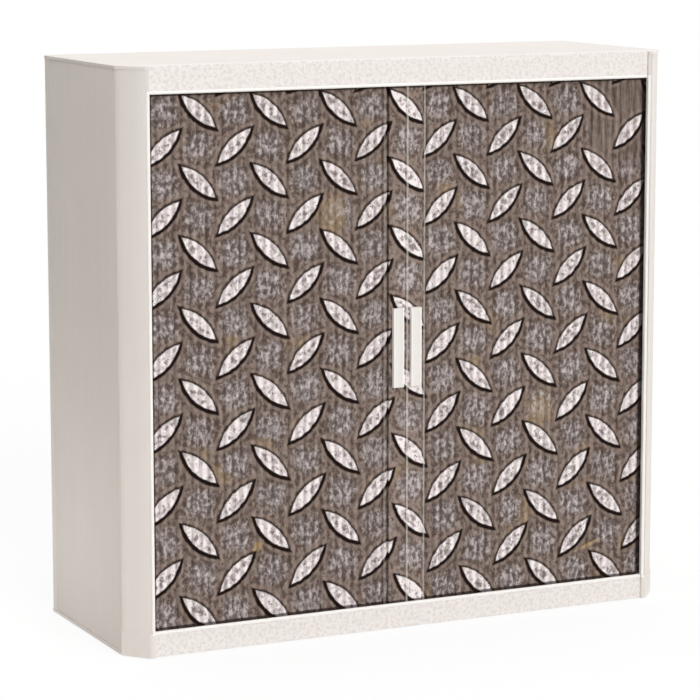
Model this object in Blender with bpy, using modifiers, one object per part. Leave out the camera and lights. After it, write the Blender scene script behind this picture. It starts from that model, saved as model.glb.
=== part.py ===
"""A free-standing plastic cabinet with two tambour doors that part in the middle and run into the sides."""

import math

import bmesh
import bpy
from mathutils import Matrix, Vector

# Whole cabinet, in metres: it faces -Y and stands on z = 0
WIDTH = 1.10
DEPTH = 0.41
HEIGHT = 1.05
REAR_RADIUS = 0.012
FIT_GAP = 0.0003  # between pieces that touch
OVERRUN = 0.004  # cutters past the face that they open
JOIN = 0.001  # overlap of shapes that become one piece

# Top and base mouldings
TOP_TRAY = 0.049
BASE_TOP = 0.0475
FASCIA_RECESS = 0.005  # behind the front of the posts
RECESS_CORNER = 0.0006
SHEET = 0.006
SHEET_RIM = 0.001  # the mouldings' edge beyond the walls
SHEET_BEVEL = 0.0018
TRAY_FLOOR = 0.005
TRAY_WEB = 0.004
TRAY_REAR_RADIUS = 0.006
POCKET_COLUMNS = 10
POCKET_ROWS = 4
POCKET_MARGIN = 0.006  # wall between the guide groove and the rib pockets
GROOVE_DEPTH = 0.014
GROOVE_PLAY = 0.001  # beyond the rib crests on each side
GROOVE_WALL = 0.0019  # from the straight groove's end to the front post's seat
CHANNEL_DEPTH = 0.004  # shallow channel between the fascia and the groove
CHANNEL_WALL = 0.0065
OUTER_BEND_START = 250  # angles at which the bend's walls leave the straight groove
INNER_BEND_START = 265

# Front corners: a slightly crowned slope between the side and a narrow front face
CHAMFER_FACE = 0.038
CHAMFER_SIDE = 0.0445
CHAMFER_CROWN = 0.0012
CROWN_RADIUS = 0.40
FACE_TURN = 0.008
SIDE_TURN = 0.0008
POST_LIP = 0.009
LIP_DEPTH = 0.008
LIP_CORNER = 0.002
LIP_LINE = 0.0012  # depth and half width of the fine groove beside the lip

# Corner posts and the panels between them
POST_WALL = 0.003
REAR_POST_RUN = 0.030
TAB_CHAMFER = 0.003
TAB_REACH = 0.010
PANEL_SHEET = 0.0025
PANEL_DEPTH = 0.006
PANEL_RIB = 0.0025
PANEL_RIB_MARGIN = 0.020
SIDE_RIBS = 7
BACK_RIBS = 8
LIP_RADIUS = 0.003
LIP_PROUD = 0.0015
LIP_REACH = 0.0005

# Track that the curtain follows, on the middle of the slats
SLAT_RECESS = 0.0165  # rib crests behind the front of the posts
SLAT_FRONT = 0.004  # rib crests ahead of the track line
SLAT_BACK = 0.0034
TRACK_SIDE_INSET = 0.014
TRACK_RADIUS = 0.050
TRACK_BACK_RUN = 0.085
SLAT_TOP_PLAY = 0.002

# Curtain: ribbed slat sections that hook into each other
SECTIONS = 15
CURTAIN_PLAY = 0.0021  # closed curtain's tail to the end of the straight groove
RIBS = 2
RIB_HEIGHT = 0.0018
SECTION_GAP = 0.0004
HOOK_INSET = 0.0035
BEAD_RADIUS = 0.0013
SOCKET_RADIUS = 0.0017
NECK_HALF = 0.0006
SLOT_HALF = 0.0010

# Lead stiles and handles
STILE_FACE = 0.034
STILE_WIDTH = 0.0443  # with the narrow rib beside its face
STILE_RIB_GAP = 0.0014
STILE_RECESS = 0.012
STILE_CORNER = 0.002
STILE_BACK = 0.004
STILE_END_GAP = 0.0015
STILE_TONGUE_SETBACK = 0.002
MEET_GAP = 0.0005
SEAL_HALF = 0.0012
SEAL_REACH = 0.0020
HANDLE_SETBACK = 0.003  # behind the front of the posts
HANDLE_WIDTH = 0.0215
HANDLE_LENGTH = 0.146
HANDLE_FROM_MEETING = 0.018
HANDLE_CORNER = 0.002
HANDLE_SCOOP = 0.0008
HANDLE_BEVEL = 0.001
HANDLE_PEG_RADIUS = 0.003
HANDLE_PEG_LENGTH = 0.006
HANDLE_PEG_SPACING = 0.096
PEG_CLEARANCE = 0.0003

# Inside of the cabinet
LINER_WALL = 0.003
LINER_FROM_GROOVE = 0.002
LINER_FIRST_ANGLE = 232
SHELF_LEVELS = 2
SHELF_THICK = 0.020
SHELF_TOP = 0.003
SHELF_SKIRT = 0.004
SHELF_BEVEL = 0.0015
SHELF_PLAY = 0.0005
SHELF_COLUMNS = 10
SHELF_ROWS = 4
SHELF_WEB = 0.003
SHELF_POCKET_MARGIN = 0.006
PEG_RADIUS = 0.003
PEG_LEDGE = 0.012
PEG_LEDGE_WIDTH = 0.014
PEG_LEDGE_HEIGHT = 0.014
PEG_BEVEL = 0.001
PEG_PAST_BEND = 0.012
PEG_ROW_STEP = 0.050
PEG_ROWS_EACH_WAY = 1

# Feet
FOOT_STAND = 0.002
FOOT_RADIUS = 0.016
FOOT_STEM_RADIUS = 0.005
FOOT_STEM_LENGTH = 0.012
FOOT_SIDE_INSET = 0.028
FOOT_END_INSET = 0.060
FOOT_BEVEL = 0.0006

# Places worked out from the sizes above
SIDE = WIDTH / 2 - SHEET_RIM
FRONT = -DEPTH / 2 + SHEET_RIM
BACK = DEPTH / 2 - SHEET_RIM
CHAMFER_LENGTH = math.hypot(CHAMFER_FACE, CHAMFER_SIDE)
OPENING_HALF = SIDE - CHAMFER_FACE - POST_LIP
FASCIA = FRONT - SHEET_RIM + FASCIA_RECESS
TOP_BOTTOM = HEIGHT - TOP_TRAY
MIDDLE = (BASE_TOP + TOP_BOTTOM) / 2
BLOCK_INSET = PANEL_DEPTH + FIT_GAP
TAB_OUTSIDE = PANEL_SHEET + FIT_GAP  # depth of the tabs' faces behind the panels
TAB_INSIDE = PANEL_DEPTH
GROOVE_WIDTH = 2 * (SLAT_FRONT + GROOVE_PLAY)
TRACK_FRONT = FRONT + SLAT_RECESS + SLAT_FRONT
TRACK_SIDE = SIDE - TRACK_SIDE_INSET
TRACK_BACK = BACK - TRACK_SIDE_INSET
SEAT_INSET = POST_WALL + FIT_GAP
GROOVE_FRONT = SLAT_RECESS + SLAT_FRONT - GROOVE_WIDTH / 2
SEAT_SLOPE = (CHAMFER_LENGTH * SEAT_INSET - CHAMFER_FACE * GROOVE_FRONT) / CHAMFER_SIDE
GROOVE_END = SIDE - CHAMFER_FACE - SEAT_SLOPE - GROOVE_WALL
SECTION_PITCH = (GROOVE_END - CURTAIN_PLAY - STILE_WIDTH) / SECTIONS
SLAT_BOTTOM = BASE_TOP - GROOVE_DEPTH + FIT_GAP
SLAT_TOP = TOP_BOTTOM + GROOVE_DEPTH - SLAT_TOP_PLAY
HOOK_LINE = (SLAT_BACK - SLAT_FRONT + RIB_HEIGHT) / 2
STILE_FRONT = TRACK_FRONT - FRONT - STILE_RECESS
LINER_CLEAR = GROOVE_WIDTH / 2 + LINER_FROM_GROOVE
LINER_INNER = LINER_CLEAR + LINER_WALL
SHELF_INSET = LINER_INNER + SHELF_PLAY

# Steps of the round shapes
ARC_STEPS = 6
TURN_STEPS = 4
RIB_STEPS = 8
HOOK_STEPS = 6
ROD_SIDES = 12
FOOT_SIDES = 24
FLAT_ANGLE = 0.5  # faces within this many degrees are one


def clear_scene():
    for obj in list(bpy.data.objects):
        bpy.data.objects.remove(obj)


def new_collection(name):
    collection = bpy.data.collections.new(name)
    bpy.context.scene.collection.children.link(collection)
    return collection


def new_material(name, colour, roughness, metallic=0.0):
    material = bpy.data.materials.new(name)
    material.use_nodes = True
    shader = material.node_tree.nodes["Principled BSDF"]
    shader.inputs["Base Color"].default_value = (*colour, 1)
    shader.inputs["Roughness"].default_value = roughness
    shader.inputs["Metallic"].default_value = metallic
    material.diffuse_color = (*colour, 1)
    return material


def arc(centre, radius, start, end, steps):
    """Points along an arc, with its angles in degrees."""
    points = []
    for step in range(steps + 1):
        angle = math.radians(start + (end - start) * step / steps)
        points.append((centre[0] + radius * math.cos(angle), centre[1] + radius * math.sin(angle)))
    return points


def rounded(corners):
    """The closed outline through corners (x, y, radius), each turned on its radius."""
    points = []
    for index, (x, y, radius) in enumerate(corners):
        here = Vector((x, y))
        before, after = corners[index - 1], corners[(index + 1) % len(corners)]
        into = (here - Vector(before[:2])).normalized()
        out = (Vector(after[:2]) - here).normalized()
        turn = math.atan2(into.x * out.y - into.y * out.x, into.dot(out))
        if not radius:
            points.append((x, y))
            continue
        centre = here + (out - into).normalized() * radius / math.cos(turn / 2)
        spoke = here - into * radius * math.tan(abs(turn) / 2) - centre
        for step in range(TURN_STEPS + 1):
            points.append(tuple(centre + Matrix.Rotation(turn * step / TURN_STEPS, 2) @ spoke))
    return points


def mirrored(points):
    return [(-x, y) for x, y in reversed(points)]


def both_halves(left_half):
    """A closed outline from its half at x < 0, whose straight ends cross the middle plane."""
    return left_half + mirrored(left_half)


def place(obj, collection, material):
    for linked in list(obj.users_collection):
        linked.objects.unlink(obj)
    collection.objects.link(obj)
    if material:
        obj.data.materials.clear()
        obj.data.materials.append(material)
    return obj


def smooth(obj, angle=35):
    obj.data.shade_smooth()
    obj.data.set_sharp_from_angle(angle=math.radians(angle))


def extruded(name, points, low, high):
    """A flat outline, drawn as a 2D curve, with its thickness along Z, as a closed mesh object."""
    curve = bpy.data.curves.new(name + "_outline", "CURVE")
    curve.dimensions = "2D"
    curve.fill_mode = "BOTH"
    curve.extrude = (high - low) / 2
    spline = curve.splines.new("POLY")
    spline.points.add(len(points) - 1)
    for point, (x, y) in zip(spline.points, points):
        point.co = (x, y, 0, 1)
    spline.use_cyclic_u = True
    guide = bpy.data.objects.new(name + "_outline", curve)
    bpy.context.scene.collection.objects.link(guide)
    guide.location.z = (low + high) / 2
    bpy.context.view_layer.update()
    evaluated = guide.evaluated_get(bpy.context.evaluated_depsgraph_get())
    mesh = bpy.data.meshes.new_from_object(evaluated)
    mesh.name = name
    weld(mesh)
    obj = bpy.data.objects.new(name, mesh)
    obj.matrix_world = guide.matrix_world
    bpy.data.objects.remove(guide)
    bpy.context.scene.collection.objects.link(obj)
    return obj


def weld(mesh):
    """Joins a curve's loose caps to its sides, and makes each cap one face."""
    form = bmesh.new()
    form.from_mesh(mesh)
    bmesh.ops.remove_doubles(form, verts=form.verts, dist=JOIN / 100)
    bmesh.ops.dissolve_limit(form, angle_limit=math.radians(FLAT_ANGLE), verts=form.verts, edges=form.edges)
    bmesh.ops.recalc_face_normals(form, faces=form.faces)
    form.to_mesh(mesh)
    form.free()


def mesh_object(name, form, location=(0, 0, 0)):
    mesh = bpy.data.meshes.new(name)
    bmesh.ops.recalc_face_normals(form, faces=form.faces)
    form.to_mesh(mesh)
    form.free()
    obj = bpy.data.objects.new(name, mesh)
    obj.location = location
    bpy.context.scene.collection.objects.link(obj)
    return obj


def add_block(form, low, high):
    size = Vector(high) - Vector(low)
    middle = (Vector(high) + Vector(low)) / 2
    matrix = Matrix.Translation(middle) @ Matrix.Diagonal((*size, 1))
    bmesh.ops.create_cube(form, size=1, matrix=matrix)


def add_rod(form, start, end, radius, sides=ROD_SIDES, end_radius=None):
    """A solid round bar between two points."""
    start, end = Vector(start), Vector(end)
    turn = (end - start).to_track_quat("Z", "X").to_matrix().to_4x4()
    bmesh.ops.create_cone(
        form,
        cap_ends=True,
        segments=sides,
        radius1=radius,
        radius2=radius if end_radius is None else end_radius,
        depth=(end - start).length,
        matrix=Matrix.Translation((start + end) / 2) @ turn,
    )


def block(name, low, high):
    """A box whose origin is at its middle."""
    middle = (Vector(high) + Vector(low)) / 2
    form = bmesh.new()
    add_block(form, Vector(low) - middle, Vector(high) - middle)
    return mesh_object(name, form, middle)


def as_cutter(obj):
    obj.hide_render = True
    obj.display_type = "WIRE"
    return place(obj, CUTTERS, None)


def boolean(obj, other, operation):
    modifier = obj.modifiers.new(operation.title() + " " + other.name, "BOOLEAN")
    modifier.operation = operation
    modifier.solver = "EXACT"
    modifier.object = as_cutter(other)


def bevel(obj, width, segments=2, angle=50):
    modifier = obj.modifiers.new("Round edges", "BEVEL")
    modifier.width = width
    modifier.segments = segments
    modifier.limit_method = "ANGLE"
    modifier.angle_limit = math.radians(angle)


def grid_cutter(name, low, high, columns, rows, web):
    """Pockets in a grid, with a web between neighbours."""
    form = bmesh.new()
    column = (high[0] - low[0] + web) / columns
    row = (high[1] - low[1] + web) / rows
    for i in range(columns):
        for j in range(rows):
            x, y = low[0] + i * column, low[1] + j * row
            add_block(form, (x, y, low[2]), (x + column - web, y + row - web, high[2]))
    return mesh_object(name, form)


def track_corners(offset, first_angle=270):
    """The left half of the track, from its front corner to the end of its back run.

    The offset moves it outwards, and first_angle says how far round the front corner it starts."""
    radius = TRACK_RADIUS + offset
    middle_x = -TRACK_SIDE + TRACK_RADIUS
    points = arc((middle_x, TRACK_FRONT + TRACK_RADIUS), radius, first_angle, 180, ARC_STEPS)
    points += arc((middle_x, TRACK_BACK - TRACK_RADIUS), radius, 180, 90, ARC_STEPS)
    points.append((middle_x + TRACK_BACK_RUN, TRACK_BACK + offset))
    return points


def left_groove_outline():
    """The left guide groove from its bend onwards: it starts inside the straight groove."""
    start = (-TRACK_SIDE + TRACK_RADIUS, TRACK_FRONT)
    outer = track_corners(GROOVE_WIDTH / 2, OUTER_BEND_START)
    inner = track_corners(-GROOVE_WIDTH / 2, INNER_BEND_START)
    return [start] + outer + inner[::-1]


def across_at(back, inset):
    """How far from the side the corner's slope lies at a depth behind the front, when set in."""
    return CHAMFER_FACE + (CHAMFER_LENGTH * inset - CHAMFER_FACE * back) / CHAMFER_SIDE


def back_at(across, inset):
    """How far behind the front the corner's slope lies at a distance from the side, when set in."""
    return CHAMFER_SIDE + (CHAMFER_LENGTH * inset - CHAMFER_SIDE * across) / CHAMFER_FACE


def slope_corners(rim):
    """The crowned slope of a front corner, as corners (from the side, from the front, radius)."""
    crown = (CHAMFER_CROWN + rim) / CHAMFER_LENGTH
    middle = (CHAMFER_FACE / 2 - CHAMFER_SIDE * crown, CHAMFER_SIDE / 2 - CHAMFER_FACE * crown)
    side = (-rim, back_at(-rim, -rim), SIDE_TURN)
    return [side, (*middle, CROWN_RADIUS), (across_at(-rim, -rim), -rim, FACE_TURN)]


def moulding_outline():
    """The whole plan of the top and base, a little wider than the walls, with the fascia set back."""
    left = [(-OPENING_HALF, FASCIA, RECESS_CORNER), (-OPENING_HALF, FRONT - SHEET_RIM, LIP_CORNER)]
    for across, back, radius in reversed(slope_corners(SHEET_RIM)):
        left.append((-SIDE + across, FRONT + back, radius))
    left.append((-SIDE - SHEET_RIM, BACK + SHEET_RIM, REAR_RADIUS + SHEET_RIM))
    return rounded(left + [(-x, y, radius) for x, y, radius in reversed(left)])


def rear_of_block():
    """The back part of a tray's deep frame, inside the panels."""
    middle = (-SIDE + BLOCK_INSET + TRAY_REAR_RADIUS, BACK - BLOCK_INSET - TRAY_REAR_RADIUS)
    return arc(middle, TRAY_REAR_RADIUS, 180, 90, ARC_STEPS)


def round_the_back():
    """A cutter's outline from the back of a tray's frame, past the middle plane, round its outside."""
    outside = -SIDE - SHEET_RIM - OVERRUN
    rear = BACK + SHEET_RIM + OVERRUN
    return rear_of_block() + [(OVERRUN, BACK - BLOCK_INSET), (OVERRUN, rear), (outside, rear)]


def top_seat_outline():
    """What the top gives way to on the left: the front post, the panels and the rear post."""
    fascia_end = -OPENING_HALF + FIT_GAP
    behind_lip = LIP_DEPTH + FIT_GAP
    inset = SEAT_INSET
    outside = -SIDE - SHEET_RIM - OVERRUN
    ahead = FRONT - SHEET_RIM - OVERRUN
    left = [(outside, ahead), (fascia_end, ahead), (fascia_end, FRONT + behind_lip)]
    left.append((-SIDE + across_at(behind_lip, inset), FRONT + behind_lip))
    left.append((-SIDE + BLOCK_INSET, FRONT + back_at(BLOCK_INSET, inset)))
    return left + round_the_back()


def base_seat_outline():
    """What the base gives way to on the left: the side panel, the rear post and the back panel."""
    start = FRONT + CHAMFER_SIDE
    outside = -SIDE - SHEET_RIM - OVERRUN
    return [(outside, start), (-SIDE + BLOCK_INSET, start)] + round_the_back()


def cut_seats(tray, outline, low, high):
    for side, points in (("left", outline), ("right", mirrored(outline))):
        boolean(tray, extruded(f"{tray.name}_{side}_seat", points, low, high), "DIFFERENCE")


def cut_grooves(tray, low, high):
    half = GROOVE_WIDTH / 2
    ends = (-GROOVE_END, TRACK_FRONT - half, low), (GROOVE_END, TRACK_FRONT + half, high)
    boolean(tray, block(f"{tray.name}_front_groove", *ends), "DIFFERENCE")
    outline = left_groove_outline()
    for side, points in (("left", outline), ("right", mirrored(outline))):
        boolean(tray, extruded(f"{tray.name}_{side}_groove", points, low, high), "DIFFERENCE")


def cut_channel(tray, low, high):
    """Opens the space in front of the guide groove, so the curtain shows right down to the lip."""
    end = OPENING_HALF - JOIN
    front = (-end, FASCIA + CHANNEL_WALL, low)
    boolean(tray, block(f"{tray.name}_channel", front, (end, TRACK_FRONT, high)), "DIFFERENCE")


def fascia_lip(name, z):
    """The round lip along the opening's edge on a tray."""
    form = bmesh.new()
    end = OPENING_HALF - JOIN
    y = FASCIA + LIP_RADIUS - LIP_PROUD
    add_rod(form, (-end, y, z), (end, y, z), LIP_RADIUS)
    return mesh_object(name, form)


def pocket_corners(low_z, high_z):
    """The space for rib pockets, inside the guide groove on every side."""
    inset = GROOVE_WIDTH / 2 + POCKET_MARGIN
    x = TRACK_SIDE - TRACK_RADIUS - inset
    return (-x, TRACK_FRONT + inset, low_z), (x, TRACK_BACK - inset, high_z)


def make_top_panel():
    """Top moulding: sheet, fascia and upper guide grooves in one, with open pockets underneath."""
    panel = extruded("top_panel", moulding_outline(), TOP_BOTTOM, HEIGHT)
    bevel(panel, SHEET_BEVEL)
    cut_seats(panel, top_seat_outline(), TOP_BOTTOM - OVERRUN, HEIGHT - SHEET)
    boolean(panel, fascia_lip("top_lip", TOP_BOTTOM + LIP_RADIUS - LIP_REACH), "UNION")
    cut_grooves(panel, TOP_BOTTOM - OVERRUN, TOP_BOTTOM + GROOVE_DEPTH)
    cut_channel(panel, TOP_BOTTOM - OVERRUN - JOIN, TOP_BOTTOM + CHANNEL_DEPTH)
    low, high = pocket_corners(TOP_BOTTOM - OVERRUN, HEIGHT - TRAY_FLOOR)
    pockets = grid_cutter("top_pockets", low, high, POCKET_COLUMNS, POCKET_ROWS, TRAY_WEB)
    boolean(panel, pockets, "DIFFERENCE")
    place(panel, CABINET, WHITE)
    smooth(panel)


def foot_places():
    for end, y in (("front", FRONT + FOOT_END_INSET), ("rear", BACK - FOOT_END_INSET)):
        for side, sign in (("left", -1), ("right", 1)):
            yield f"{end}_{side}", sign * (SIDE - FOOT_SIDE_INSET), y


def make_base_panel():
    """Base moulding: cabinet floor, fascia, lower guide grooves and open pockets underneath."""
    panel = extruded("base_panel", moulding_outline(), FOOT_STAND, BASE_TOP)
    bevel(panel, SHEET_BEVEL)
    cut_seats(panel, base_seat_outline(), FOOT_STAND + SHEET, BASE_TOP + OVERRUN)
    boolean(panel, fascia_lip("base_lip", BASE_TOP - LIP_RADIUS + LIP_REACH), "UNION")
    cut_grooves(panel, BASE_TOP - GROOVE_DEPTH, BASE_TOP + OVERRUN)
    cut_channel(panel, BASE_TOP - CHANNEL_DEPTH, BASE_TOP + OVERRUN + JOIN)
    low, high = pocket_corners(FOOT_STAND - OVERRUN, BASE_TOP - TRAY_FLOOR)
    pockets = grid_cutter("base_pockets", low, high, POCKET_COLUMNS, POCKET_ROWS, TRAY_WEB)
    boolean(panel, pockets, "DIFFERENCE")
    form = bmesh.new()
    hole = FOOT_STEM_RADIUS + PEG_CLEARANCE
    for _, x, y in foot_places():
        top = FOOT_STAND + FOOT_STEM_LENGTH + FIT_GAP
        add_rod(form, (x, y, FOOT_STAND - OVERRUN), (x, y, top), hole)
    boolean(panel, mesh_object("foot_holes", form), "DIFFERENCE")
    place(panel, CABINET, WHITE)
    smooth(panel)


def make_feet():
    """Round glides on stems that press into the base's side rails."""
    for name, x, y in foot_places():
        form = bmesh.new()
        add_rod(form, (0, 0, 0), (0, 0, FOOT_STAND - FIT_GAP), FOOT_RADIUS, FOOT_SIDES)
        foot = mesh_object(f"foot_{name}", form, (x, y, 0))
        bevel(foot, FOOT_BEVEL, 1)
        form = bmesh.new()
        stem_base = FOOT_STAND - FIT_GAP - JOIN
        add_rod(form, (x, y, stem_base), (x, y, FOOT_STAND + FOOT_STEM_LENGTH), FOOT_STEM_RADIUS)
        boolean(foot, mesh_object(f"stem_{name}", form), "UNION")
        place(foot, CABINET, DARK)
        smooth(foot)


def front_post_outline():
    """A front post from its outer corner: slope, lip of the opening, and a tab behind the panel."""
    outside, inside = TAB_OUTSIDE, TAB_INSIDE
    face_end, side_end = CHAMFER_FACE + POST_LIP, CHAMFER_SIDE
    corners = slope_corners(0)
    line = face_end - 2 * LIP_CORNER - 2 * LIP_LINE
    corners += [(line - LIP_LINE, 0, 0), (line, LIP_LINE, 0), (line + LIP_LINE, 0, 0)]
    corners += [(face_end, 0, LIP_CORNER), (face_end, LIP_DEPTH, SIDE_TURN)]
    corners += [(across_at(LIP_DEPTH, POST_WALL), LIP_DEPTH, 0), (inside, back_at(inside, POST_WALL), 0)]
    corners += [(inside, side_end + TAB_REACH, 0), (outside, side_end + TAB_REACH, 0)]
    corners.append((outside, side_end, 0))
    return rounded(corners)


def rear_post_outline():
    """A small round rear post from its outer corner, with tabs that lie behind both panels."""
    outside, inside, run, end = TAB_OUTSIDE, TAB_INSIDE, REAR_POST_RUN, REAR_POST_RUN + TAB_REACH
    middle = (REAR_RADIUS, REAR_RADIUS)
    points = [(0, run)] + arc(middle, REAR_RADIUS, 180, 270, ARC_STEPS)
    points += [(run, 0), (run, outside), (end, outside), (end, inside), (run - JOIN, inside)]
    points.append((run - TAB_CHAMFER, POST_WALL))
    points += arc(middle, REAR_RADIUS - POST_WALL, 270, 180, ARC_STEPS)
    points += [(POST_WALL, run - TAB_CHAMFER), (inside, run - JOIN)]
    return points + [(inside, end), (outside, end), (outside, run)]


def make_posts():
    """Sloping front posts with the lip of the opening, and small rear posts."""
    low, high = BASE_TOP + FIT_GAP, HEIGHT - SHEET - FIT_GAP
    front, rear = front_post_outline(), rear_post_outline()
    for side, sign in (("left", -1), ("right", 1)):
        points = [(sign * (SIDE - x), FRONT + y) for x, y in front]
        post = extruded(f"front_corner_post_{side}", points, low, high)
        place(post, CABINET, WHITE)
        smooth(post)
        points = [(sign * (SIDE - x), BACK - y) for x, y in rear]
        bottom = FOOT_STAND + SHEET + FIT_GAP
        post = extruded(f"rear_corner_post_{side}", points, bottom, high)
        place(post, CABINET, WHITE)
        smooth(post)


def panel_outline(length, ribs, tongue=False):
    """A thin sheet with upright ribs on its inner face, as (along, inwards), perhaps with a tongue."""
    points = [(0, 0), (length, 0), (length, PANEL_SHEET)]
    step = (length - 2 * PANEL_RIB_MARGIN) / (ribs - 1)
    for rib in reversed(range(ribs)):
        middle = PANEL_RIB_MARGIN + rib * step
        points += [(middle + PANEL_RIB / 2, PANEL_SHEET), (middle + PANEL_RIB / 2, PANEL_DEPTH)]
        points += [(middle - PANEL_RIB / 2, PANEL_DEPTH), (middle - PANEL_RIB / 2, PANEL_SHEET)]
    if not tongue:
        return points + [(0, PANEL_SHEET)]
    points += [(TAB_CHAMFER, PANEL_SHEET), (TAB_CHAMFER, TAB_INSIDE), (-TAB_REACH, TAB_INSIDE)]
    return points + [(-TAB_REACH, TAB_OUTSIDE), (0, TAB_OUTSIDE)]


def make_panels():
    """Side and back panels, laid over the posts' tabs; the left back panel's tongue laps the right one."""
    low = FOOT_STAND + SHEET + FIT_GAP
    high = HEIGHT - SHEET - FIT_GAP
    start = FRONT + CHAMFER_SIDE + FIT_GAP
    side_length = BACK - REAR_POST_RUN - FIT_GAP - start
    inner_end = FIT_GAP / 2
    back_length = SIDE - REAR_POST_RUN - FIT_GAP - inner_end
    for side, sign in (("left", -1), ("right", 1)):
        points = [(sign * (SIDE - d), start + a) for a, d in panel_outline(side_length, SIDE_RIBS)]
        panel = extruded(f"side_panel_{side}", points, low, high)
        place(panel, CABINET, WHITE)
        outline = panel_outline(back_length, BACK_RIBS, tongue=side == "left")
        points = [(sign * (inner_end + a), BACK - d) for a, d in outline]
        panel = extruded(f"back_panel_{side}", points, low, high)
        place(panel, CABINET, WHITE)


def shelf_heights():
    """The underside of each shelf."""
    step = (TOP_BOTTOM - BASE_TOP) / (SHELF_LEVELS + 1)
    return [BASE_TOP + step * (level + 1) for level in range(SHELF_LEVELS)]


def peg_places():
    """Peg holes on a liner's side: (front to back place, height of the hole's middle)."""
    inset = TRACK_RADIUS + PEG_PAST_BEND
    for y in (TRACK_FRONT + inset, TRACK_BACK - inset):
        for height in shelf_heights():
            yield y, height - FIT_GAP - PEG_LEDGE_HEIGHT / 2


def make_liners():
    """Inner side walls, which keep the stored things off the curtain and carry the shelf pegs."""
    outer = track_corners(-LINER_CLEAR, LINER_FIRST_ANGLE)
    inner = track_corners(-LINER_INNER, LINER_FIRST_ANGLE)
    outline = outer + inner[::-1]
    for side, points, sign in (("left", outline, -1), ("right", mirrored(outline), 1)):
        liner = extruded(f"inner_liner_{side}", points, BASE_TOP + FIT_GAP, TOP_BOTTOM - FIT_GAP)
        form = bmesh.new()
        start = sign * (TRACK_SIDE - LINER_CLEAR + OVERRUN)
        end = sign * (TRACK_SIDE - LINER_INNER - OVERRUN)
        for y, middle in peg_places():
            for row in range(-PEG_ROWS_EACH_WAY, PEG_ROWS_EACH_WAY + 1):
                z = middle + row * PEG_ROW_STEP
                add_rod(form, (start, y, z), (end, y, z), PEG_RADIUS + PEG_CLEARANCE)
        boolean(liner, mesh_object(f"peg_holes_{side}", form), "DIFFERENCE")
        place(liner, CABINET, WHITE)
        smooth(liner)


def make_pegs():
    """Shelf pegs: a round pin in the liner and a ledge under the shelf."""
    places = list(peg_places())
    for side, sign in (("left", -1), ("right", 1)):
        wall = TRACK_SIDE - LINER_INNER
        for number, (y, z) in enumerate(places, 1):
            face = sign * (wall - FIT_GAP)
            tip = sign * (wall - FIT_GAP - PEG_LEDGE)
            half_y, half_z = PEG_LEDGE_WIDTH / 2, PEG_LEDGE_HEIGHT / 2
            low = (min(face, tip), y - half_y, z - half_z)
            high = (max(face, tip), y + half_y, z + half_z)
            peg = block(f"shelf_peg_{side}_{number}", low, high)
            bevel(peg, PEG_BEVEL, 1)
            form = bmesh.new()
            end = sign * (TRACK_SIDE - LINER_CLEAR - FIT_GAP)
            add_rod(form, (face - sign * 2 * JOIN, y, z), (end, y, z), PEG_RADIUS)
            boolean(peg, mesh_object(f"pin_{side}_{number}", form), "UNION")
            place(peg, CABINET, WHITE)
            smooth(peg)


def make_shelves():
    """Shelves: a flat top, a skirt and a grid of ribs below, with corners that clear the track."""
    outline = both_halves(track_corners(-SHELF_INSET)[:-1])
    inset = SHELF_INSET + SHELF_SKIRT
    x = TRACK_SIDE - inset - SHELF_POCKET_MARGIN
    y_low, y_high = TRACK_FRONT + inset, TRACK_BACK - inset
    for number, z in enumerate(shelf_heights(), 1):
        shelf = extruded(f"shelf_{number}", outline, z, z + SHELF_THICK)
        bevel(shelf, SHELF_BEVEL)
        low = (-x, y_low + SHELF_POCKET_MARGIN, z - OVERRUN)
        high = (x, y_high - SHELF_POCKET_MARGIN, z + SHELF_THICK - SHELF_TOP)
        pockets = grid_cutter(f"shelf_pockets_{number}", low, high, SHELF_COLUMNS, SHELF_ROWS, SHELF_WEB)
        boolean(shelf, pockets, "DIFFERENCE")
        place(shelf, CABINET, WHITE)
        smooth(shelf)


def bead_and_neck(edge, width):
    """The bead that hooks a piece to the next one, from the front of the neck to its back."""
    reach = math.degrees(math.asin(NECK_HALF / BEAD_RADIUS))
    centre = (width + HOOK_INSET, HOOK_LINE)
    bead = arc(centre, BEAD_RADIUS, reach - 180, 180 - reach, HOOK_STEPS)
    return [(edge, HOOK_LINE - NECK_HALF)] + bead + [(edge, HOOK_LINE + NECK_HALF)]


def socket(edge):
    """The open socket for the bead, from the back of its slot to the front."""
    reach = math.degrees(math.asin(SLOT_HALF / SOCKET_RADIUS))
    centre = (HOOK_INSET, HOOK_LINE)
    hollow = arc(centre, SOCKET_RADIUS, 180 - reach, reach - 180, HOOK_STEPS)
    return [(edge, HOOK_LINE + SLOT_HALF)] + hollow + [(edge, HOOK_LINE - SLOT_HALF)]


def ribbed_face(start, end, ribs):
    """The front of slats from above, with sharp valleys between round ribs."""
    valley = -SLAT_FRONT + RIB_HEIGHT
    rib = (end - start) / ribs
    points = []
    for step in range(ribs * RIB_STEPS + 1):
        rise = abs(math.sin(math.pi * step / RIB_STEPS))
        points.append((start + rib * step / RIB_STEPS, valley - RIB_HEIGHT * rise))
    return points


def section_outline(hooks_on):
    """A slat section from above: ribs in front, socket on the lead side, maybe a bead on the far side."""
    start, end = SECTION_GAP / 2, SECTION_PITCH - SECTION_GAP / 2
    points = ribbed_face(start, end, RIBS)
    if hooks_on:
        points += bead_and_neck(end, SECTION_PITCH)
    points += [(end, SLAT_BACK), (start, SLAT_BACK)]
    return points + socket(start)


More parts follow.
